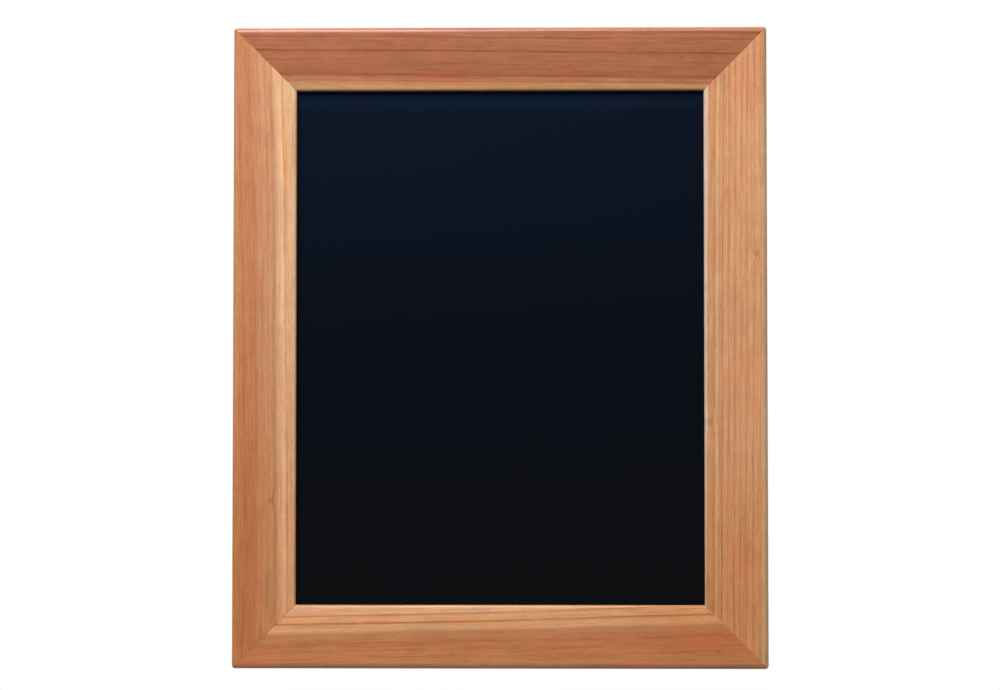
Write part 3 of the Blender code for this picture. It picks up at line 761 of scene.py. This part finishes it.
def button_tree(finish):
    """A pear-shaped plate with a bore and a raised bead, set on its seat."""
    sizes = {
        "Pivot Radius": BUTTON_PIVOT_RADIUS,
        "Nose Radius": BUTTON_NOSE_RADIUS,
        "Reach": BUTTON_REACH,
        "Thickness": BUTTON_THICKNESS,
        "Edge Round": BUTTON_EDGE,
        "Hole Radius": BUTTON_HOLE_RADIUS,
        "Bead Start": BEAD_START,
        "Bead End": BEAD_END,
        "Bead Radius": BEAD_RADIUS,
        "Bead Round": BEAD_ROUND,
        "Bead Height": BEAD_HEIGHT,
        "Finish": finish,
    }
    tree, size = geometry_tree("turn_button", sizes)
    start = size["Geometry"]
    thick, edge = size["Thickness"], size["Edge Round"]
    plate = hull(
        start,
        edge_discs(0, 0, size["Pivot Radius"], 0, thick, edge, edge)
        + edge_discs(0, size["Reach"], size["Nose Radius"], 0, thick, edge, edge),
    )
    top, rise = thick + size["Bead Height"], size["Bead Height"]
    ends = [
        edge_discs(0, size[end], size["Bead Radius"], thick / 2, top, size["Bead Round"], rise)
        for end in ("Bead Start", "Bead End")
    ]
    bead = hull(start, ends[0] + ends[1])
    bore = size["Hole Radius"]
    hole = hull(start, [(0, 0, thick * -1, bore), (0, 0, thick * 2, bore)])
    pierced = combined("DIFFERENCE", [plate], [hole])
    button = combined("UNION", [pierced, bead])
    close_tree(on_seats(button, start, FACE_UP), size["Finish"])
    return tree


def zinc(name, colour, polish, scratch_scale):
    """Zinc-plated steel: a pale metal with tumbled scratches, rubbed marks and cloudy patches."""
    material, shader, place = surface(name)
    x, y, z = place.split()
    cloud = place.noise(place, *ZINC_CLOUD_NOISE)
    scratches = place.noise(place.join(x * ZINC_SCRATCH_RUN, y, z), scratch_scale, *ZINC_SCRATCH_DETAIL)
    mark_scale = scratch_scale * ZINC_MARK_SCALE_SHARE
    marks = place.noise(place.join(x, y, z * ZINC_MARK_RUN), mark_scale, *ZINC_MARK_DETAIL)
    dull = tuple(value * ZINC_CLOUD_SHADE for value in colour[:3]) + (1.0,)
    tone = place.mix(cloud.within(*ZINC_CLOUD_SPAN) * ZINC_CLOUD_DEPTH, colour, dull)
    tone = place.mix(marks.within(*ZINC_MARK_SPAN) * ZINC_MARK_DEPTH, tone, ZINC_MARK)
    worn = scratches.within(*ZINC_SCRATCH_SPAN) * ZINC_SCRATCH_ROUGHNESS
    dress(
        shader,
        Base_Color=tone,
        Metallic=1.0,
        Roughness=polish + (cloud - 0.5) * ZINC_CLOUD_ROUGHNESS + worn,
        Normal=place.bump(scratches + marks / 2, ZINC_RELIEF),
    )
    return material


stamping = zinc("zinc_stamping", colour=(0.53, 0.55, 0.57, 1), polish=0.32, scratch_scale=2600.0)
buttons = button_tree(stamping)
pivots = {joint["child"]: joint["pos_m"] for joint in frame["joints"]}
for place_name in BUTTONS:
    node = "turn_button_" + place_name
    pivot = pivots["button_" + place_name]
    turn = QUARTERS[place_name.split("_")[0]] * math.pi / 2
    seat = point_mesh("seat", [(pivot[0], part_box(node)[0].y, pivot[2])], turn=[turn])
    button = grown("button_plate_" + place_name, buttons, seat, {})
    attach(button, "button_" + place_name)
    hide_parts(node)

# Turn screws: cold-headed steel with a pan head and a cross recess, zinc plated. One goes through each
# turn button into the rail, and the button turns on its shank.
TURN_SCREW = {"Head Radius": 0.0031, "Head Height": 0.0020, "Shank Radius": 0.00145, "Length": 0.0120}
SCREW_TIP = 0.0030
SCREW_TIP_RADIUS = 0.0004
HEAD_WALL_SHARE = 0.30
HEAD_ROUND_SHARE = 0.80
RECESS_DEPTH_SHARE = 0.70
RECESS_REACH_SHARE = 0.56
RECESS_WING_SHARE = 0.16
RECESS_FLOOR_SHARE = 0.45
RECESS_OVERRUN_SHARE = 1.1
SHANK_TOP_SHARE = 0.25
WING_STEPS = 12

# Each screw is left this many radians further round than the one before it.
DRIVEN_TURN = 2.4


def screw_tree(finish):
    """A pan-head screw with a tapered tip. Two wings, narrower at the floor, cut its cross recess."""
    tip = {"Tip Length": SCREW_TIP, "Tip Radius": SCREW_TIP_RADIUS}
    tree, size = geometry_tree("pan_head_screw", {**TURN_SCREW, **tip, "Finish": finish})
    start = size["Geometry"]
    radius, rise = size["Head Radius"], size["Head Height"]
    shank, tip_z = size["Shank Radius"], size["Length"] * -1
    across, fall = radius * HEAD_ROUND_SHARE, rise * (1 - HEAD_WALL_SHARE)
    head = hull(start, edge_discs(0, 0, radius, 0, rise, across, fall))
    stem = [
        (0, 0, tip_z, size["Tip Radius"]),
        (0, 0, tip_z + size["Tip Length"], shank),
        (0, 0, rise * SHANK_TOP_SHARE, shank),
    ]
    blank = combined("UNION", [head, hull(start, stem)])
    wing = radius * RECESS_WING_SHARE
    reach = radius * RECESS_REACH_SHARE - wing
    floor, top = rise * (1 - RECESS_DEPTH_SHARE), rise * RECESS_OVERRUN_SHARE
    wings = []
    for x, y in ((1, 0), (0, 1)):
        ends = [(side * share, height, share) for side in (-1, 1)
                for height, share in ((floor, RECESS_FLOOR_SHARE), (top, 1.0))]
        discs = [(reach * (x * step), reach * (y * step), height, wing * share)
                 for step, height, share in ends]
        wings.append(hull(start, discs, WING_STEPS))
    screw = combined("DIFFERENCE", [blank], wings)
    close_tree(on_seats(screw, start, FACE_UP), size["Finish"])
    return tree


def drive(name, tree, nodes, sizes):
    """One piece for a set of screws, each on its own seat and left at a turn of its own."""
    seats = []
    for node in nodes:
        low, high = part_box(node)
        seats.append(((low.x + high.x) / 2, high.y - sizes["Head Height"], (low.z + high.z) / 2))
    turns = [DRIVEN_TURN * (i + 1) for i in range(len(nodes))]
    screws = grown(name, tree, point_mesh("seats", seats, turn=turns), sizes)
    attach(screws, "frame")
    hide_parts(*nodes)


screws = screw_tree(zinc("zinc_screw", colour=(0.57, 0.58, 0.58, 1), polish=0.26, scratch_scale=4200.0))
drive("button_screws", screws, ["turn_screw_" + name for name in BUTTONS], TURN_SCREW)

# Hanger straps: strips of zinc-plated steel folded round the ring's bar, with two screw holes through
# both leaves and a rounded tail, on the back of each stile.
STRAP_WIDTH = 0.0120
STRAP_THICKNESS = 0.0009
STRAP_LENGTH = 0.0330
STRAP_FOLD_GAP = 0.0003
STRAP_HEEL = 0.0012
STRAP_FALL = math.radians(60)
STRAP_TAIL_ROUND = 0.0040
STRAP_EDGE = 0.00015
STRAP_EDGE_STEPS = 3
STRAP_HOLES = (0.0168, 0.0274)
STRAP_HOLE_RADIUS = 0.00205
STRAP_ROUND_STEPS = 20
TRIM_PLAY = 0.00001
RING_WIRE_RADIUS = 0.0010


def rectangle(start, width, height):
    """A closed rectangle about the origin."""
    sides = {"Width": width, "Height": height}
    return start.node("GeometryNodeCurvePrimitiveQuadrilateral", {"mode": "RECTANGLE"}, sides)


def folded_line():
    """The strap's middle line as (down the board, out from it) corners, each with its round."""
    loop = RING_WIRE_RADIUS + SEAT_GAP + STRAP_THICKNESS / 2
    upper = STRAP_THICKNESS + STRAP_FOLD_GAP - loop
    fall = (loop * math.cos(STRAP_FALL) - upper) / math.sin(STRAP_FALL)
    heel = loop * math.sin(STRAP_FALL) + fall * math.cos(STRAP_FALL)
    corners = [
        ((STRAP_LENGTH, -loop, 0), 0),
        ((-loop, -loop, 0), loop),
        ((-loop, loop, 0), loop),
        ((loop * math.tan(STRAP_FALL / 2), loop, 0), loop),
        ((heel, upper, 0), STRAP_HEEL + STRAP_THICKNESS / 2),
        ((STRAP_LENGTH, upper, 0), 0),
    ]
    line = [(i, i + 1) for i in range(len(corners) - 1)]
    return point_mesh("folded_line", [c[0] for c in corners], line, round=[c[1] for c in corners])


def strap_tree(finish):
    """Sweeps a thin section along the folded line, rounds the tail and cuts the screw holes."""
    sizes = {
        "Width": STRAP_WIDTH,
        "Thickness": STRAP_THICKNESS,
        "Length": STRAP_LENGTH,
        "Edge Round": STRAP_EDGE,
        "Tail Round": STRAP_TAIL_ROUND,
        "Hole Radius": STRAP_HOLE_RADIUS,
        "Place": (0.0, 0.0, 0.0),
        "Finish": finish,
    }
    tree, size = geometry_tree("folded_strap", sizes)
    start = size["Geometry"]
    line = start.node("GeometryNodeMeshToCurve", {}, {"Mesh": start})
    line = filleted(line, STRAP_ROUND_STEPS, stored(start, "round"))
    line = start.node("GeometryNodeSetCurveNormal", {"mode": "Z_UP"}, {"Curve": line})
    sheet = rectangle(start, size["Thickness"], size["Width"])
    section = filleted(sheet, STRAP_EDGE_STEPS, size["Edge Round"])
    strip = moved(swept(line, section), turn=(math.pi / 2, 0, math.pi / 2))
    reach, bore = size["Width"], size["Hole Radius"]
    holes = [hull(start, [(0, y, reach * -1, bore), (0, y, reach, bore)]) for y in STRAP_HOLES]
    tail = size["Tail Round"]
    side, end = size["Width"] / 2 - tail, size["Length"] - tail
    blank = [(side * across, y, reach * up, tail + TRIM_PLAY)
             for across in (-1, 1) for up in (-1, 1) for y in (end, reach * -1)]
    strap = combined("INTERSECT", [strip, hull(start, blank)])
    strap = combined("DIFFERENCE", [strap], holes)
    close_tree(moved(strap, turn=(FACE_UP, 0, 0), shift=size["Place"]), size["Finish"])
    return tree


straps = strap_tree(zinc("zinc_strap", colour=(0.51, 0.53, 0.55, 1), polish=0.34, scratch_scale=2200.0))
for side in ("left", "right"):
    strap = grown("strap_" + side, straps, folded_line(), {"Place": pivots["ring_" + side]})
    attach(strap, "frame")
    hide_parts("hanger_strap_" + side)

# D-rings: zinc-plated steel wire, tumbled bright and bent to a bow and a straight bar, which turns in
# the strap's fold. At rest each lies up the stile, its bow against the wood.
RING_BAR = 0.0128
RING_CORNER = 0.0022
RING_LEAN = math.asin((STRAP_THICKNESS + SEAT_GAP) / (RING_BAR / 2 + 2 * RING_CORNER))
RING_STEPS = 24
BOW_CORNERS = 2


def ring_tree(finish):
    """Wire swept round a D, with the middle of its bar on the seat."""
    sizes = {
        "Bar": RING_BAR,
        "Corner Round": RING_CORNER,
        "Wire Radius": RING_WIRE_RADIUS,
        "Lean": RING_LEAN,
        "Finish": finish,
    }
    tree, size = geometry_tree("d_ring", sizes)
    start = size["Geometry"]
    corner = size["Corner Round"]
    bow = size["Bar"] / 2 + corner
    rise = bow + corner
    outline = rectangle(start, bow * 2, rise)

    # The rectangle's first two corners are the bow's, which take the large round.
    index = start.node("GeometryNodeInputIndex", {}, {})
    on_bow = start.maths("LESS_THAN", index, BOW_CORNERS - 0.5)
    outline = filleted(outline, RING_STEPS, corner + (bow - corner) * on_bow)
    circle = {"Resolution": RING_STEPS, "Radius": size["Wire Radius"]}
    wire = start.node("GeometryNodeCurvePrimitiveCircle", {}, circle)
    ring = moved(swept(outline, wire), shift=start.join(0.0, rise / 2, 0.0))
    close_tree(on_seats(ring, start, size["Lean"] + math.pi / 2), size["Finish"])
    return tree


rings = ring_tree(zinc("zinc_wire", colour=(0.61, 0.60, 0.58, 1), polish=0.20, scratch_scale=3400.0))
for side in ("left", "right"):
    seat = point_mesh("seat", [pivots["ring_" + side]], turn=[0])
    ring = grown("wire_ring_" + side, rings, seat, {})
    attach(ring, "ring_" + side)
    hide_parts("hanger_ring_" + side)

# Hanger screws: the same cold-headed screws in a larger size, zinc plated. Two go through both leaves of
# each strap into the back of the stile.
HANGER_SCREW = {"Head Radius": 0.0034, "Head Height": 0.0019, "Shank Radius": 0.00175, "Length": 0.0150}
hanger_nodes = [
    "hanger_screw_%s_%s" % (side, row) for side in ("left", "right") for row in ("upper", "lower")
]
drive("strap_screws", screws, hanger_nodes, HANGER_SCREW)

# Bumpers: soft black rubber discs, moulded with a rounded rim. They are glued to the back of the bottom
# rail near its ends, and keep the board off the wall.
BUMPER_RADIUS = 0.0062
BUMPER_FLAT_RADIUS = 0.0045
BUMPER_HEIGHT = 0.0048
BUMPER_WALL = 0.0022
RUBBER_BLACK = (0.012, 0.012, 0.012, 1)
RUBBER_BLOOM = (0.030, 0.029, 0.028, 1)
RUBBER_ROUGHNESS = 0.55
BLOOM_NOISE = (900.0, 3.0)
BLOOM_SPAN = (0.45, 0.75)
BLOOM_ROUGHNESS = 0.3
BLOOM_RELIEF = 0.00002
BUMPER_NODES = ("bumper_left", "bumper_right")


def bumper_tree(finish):
    """A round pad with a rounded rim, set on its seats."""
    sizes = {
        "Radius": BUMPER_RADIUS,
        "Flat Radius": BUMPER_FLAT_RADIUS,
        "Height": BUMPER_HEIGHT,
        "Wall": BUMPER_WALL,
        "Finish": finish,
    }
    tree, size = geometry_tree("bumper", sizes)
    start = size["Geometry"]
    across, rise = size["Radius"] - size["Flat Radius"], size["Height"] - size["Wall"]
    pad = hull(start, edge_discs(0, 0, size["Radius"], 0, size["Height"], across, rise))
    close_tree(on_seats(pad, start, FACE_UP), size["Finish"])
    return tree


rubber, shader, place = surface("black_rubber")
bloom = place.noise(place, *BLOOM_NOISE)
dress(
    shader,
    Base_Color=place.mix(bloom.within(*BLOOM_SPAN), RUBBER_BLACK, RUBBER_BLOOM),
    Roughness=RUBBER_ROUGHNESS + (bloom - 0.5) * BLOOM_ROUGHNESS,
    Normal=place.bump(bloom, BLOOM_RELIEF),
)
seats = []
for node in BUMPER_NODES:
    low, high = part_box(node)
    seats.append(((low.x + high.x) / 2, low.y, (low.z + high.z) / 2))
pads = grown("rubber_pads", bumper_tree(rubber), point_mesh("seats", seats, turn=[0, 0]), {})
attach(pads, "frame")
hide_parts(*BUMPER_NODES)

# Camera: the photograph was taken from straight in front, a little below the middle of the board, with
# a long lens.
PICTURE_WIDTH = 1000
FOCAL_LENGTH_PX = 2605.3
SENSOR_WIDTH = 36
CAMERA_DISTANCE = 2.5
CAMERA_AZIMUTH = math.radians(1.031)
CAMERA_ELEVATION = math.radians(-2.053)
AIM = Vector((0.0001, -0.020, 0.0018))
camera_data = bpy.data.cameras.new("camera")
camera_data.lens = FOCAL_LENGTH_PX * SENSOR_WIDTH / PICTURE_WIDTH
camera_data.sensor_width = SENSOR_WIDTH
camera = bpy.data.objects.new("camera", camera_data)
bpy.context.scene.collection.objects.link(camera)
camera.location = CAMERA_DISTANCE * Vector((
    math.sin(CAMERA_AZIMUTH) * math.cos(CAMERA_ELEVATION),
    -math.cos(CAMERA_AZIMUTH) * math.cos(CAMERA_ELEVATION),
    math.sin(CAMERA_ELEVATION),
))
camera.rotation_euler = (AIM - camera.location).to_track_quat("-Z", "Y").to_euler()
bpy.context.scene.camera = camera

# Studio: a soft box over the camera's left shoulder, a wide one behind the board that its metal doesn't
# mirror, weak fill from the white room, which is dimmer from below, and a pale floor.
KEY_PLACE = Vector((-0.55, -1.35, 1.75))
KEY_AIM = Vector((0, 0, 0.05))
KEY_SIZE = 1.50
KEY_POWER = 63
BACK_KEY_PLACE = Vector((0.60, 1.60, 0.55))
BACK_KEY_SIZE = 2.4
BACK_KEY_POWER = 36
FILL = 0.36
FILL_SLOPE = 0.74
FRONT_SHADE = 0.02
CEILING_GLOW = 0.20
CEILING_SPAN = (0.0, 0.7)
REAR_GLOW = 0.55
REAR_CEILING_GLOW = 0.80
REAR_CEILING_SPAN = (-0.4, 0.8)
REAR_SPAN = (-0.05, 0.25)
FLOOR_Z = -1.30
FLOOR_SIZE = 4.4
FLOOR_FADE = (0.8, 2.1)
FLOOR_GREY = 0.72
FLOOR_ROUGHNESS = 0.8


def softbox(name, place, aim, size, power, mirrored):
    """A square area lamp that points at its aim. Gloss and metal show it only where it is mirrored."""
    data = bpy.data.lights.new(name, "AREA")
    data.shape = "SQUARE"
    data.size = size
    data.energy = power
    lamp = bpy.data.objects.new(name, data)
    bpy.context.scene.collection.objects.link(lamp)
    lamp.location = place
    lamp.rotation_euler = (aim - place).to_track_quat("-Z", "Y").to_euler()
    lamp.visible_camera = False
    lamp.visible_glossy = mirrored


softbox("key", KEY_PLACE, KEY_AIM, KEY_SIZE, KEY_POWER, mirrored=True)
softbox("back_key", BACK_KEY_PLACE, KEY_AIM, BACK_KEY_SIZE, BACK_KEY_POWER, mirrored=False)

# The camera sees the room as white. Gloss and metal see it dim in front and paler behind the board, each
# brighter towards the ceiling, and everything else gets the weak fill.
world = bpy.data.worlds.new("studio")
bpy.context.scene.world = world
world.use_nodes = True
room = world.node_tree.nodes["Background"]
ray = Socket(world.node_tree).node("ShaderNodeLightPath", {}, {})
seen = ray.output("Is Camera Ray")
gloss = ray.output("Is Glossy Ray").larger(ray.output("Is Transmission Ray"))
x, y, z = ray.node("ShaderNodeTexCoord", {}, {}).output("Generated").split()
ambient = FILL * (1 + FILL_SLOPE * z)
front = FRONT_SHADE + z.within(*CEILING_SPAN) * CEILING_GLOW
behind = y.within(*REAR_SPAN)
rear = REAR_GLOW + z.within(*REAR_CEILING_SPAN) * REAR_CEILING_GLOW
level = ambient + gloss * (front + behind * (rear - front) - ambient)
level = level + seen * (1 - level)
world.node_tree.links.new(level.link, room.inputs["Strength"])
room.inputs["Color"].default_value = grey(1)

floor_mesh = bpy.data.meshes.new("floor")
bm = bmesh.new()
bmesh.ops.create_grid(bm, x_segments=1, y_segments=1, size=FLOOR_SIZE / 2)
bmesh.ops.translate(bm, verts=bm.verts, vec=(0, 0, FLOOR_Z))
bm.to_mesh(floor_mesh)
bm.free()
floor = bpy.data.objects.new("floor", floor_mesh)
bpy.context.scene.collection.objects.link(floor)

# Away from the board the floor turns into the white of the room, for the camera and for mirrored rays.
floor_paint, shader, place = surface("floor_paint")
dress(shader, Base_Color=grey(FLOOR_GREY), Roughness=FLOOR_ROUGHNESS)
ray = place.node("ShaderNodeLightPath", {}, {})
seen = ray.output("Is Camera Ray") + ray.output("Is Glossy Ray") + ray.output("Is Transmission Ray")
x, y, z = place.split()
away = place.maths("SQRT", x * x + y * y)
white = place.node("ShaderNodeEmission", {}, {"Color": grey(1), "Strength": 1.0})
faded = place.node("ShaderNodeMixShader", {}, {0: away.within(*FLOOR_FADE) * seen.smaller(1.0), 2: white})
floor_links = floor_paint.node_tree.links
floor_links.new(shader.outputs["BSDF"], faded.link.node.inputs[1])
floor_links.new(faded.link, floor_paint.node_tree.nodes["Material Output"].inputs["Surface"])
floor_mesh.materials.append(floor_paint)

# The floor throws no light up at the board, whose lower edge is dark in the photograph.
floor.visible_diffuse = False
floor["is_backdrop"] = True

bpy.context.scene.view_settings.view_transform = "Standard"

sizes = {"cad": cad_bounds, "visual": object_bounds()}
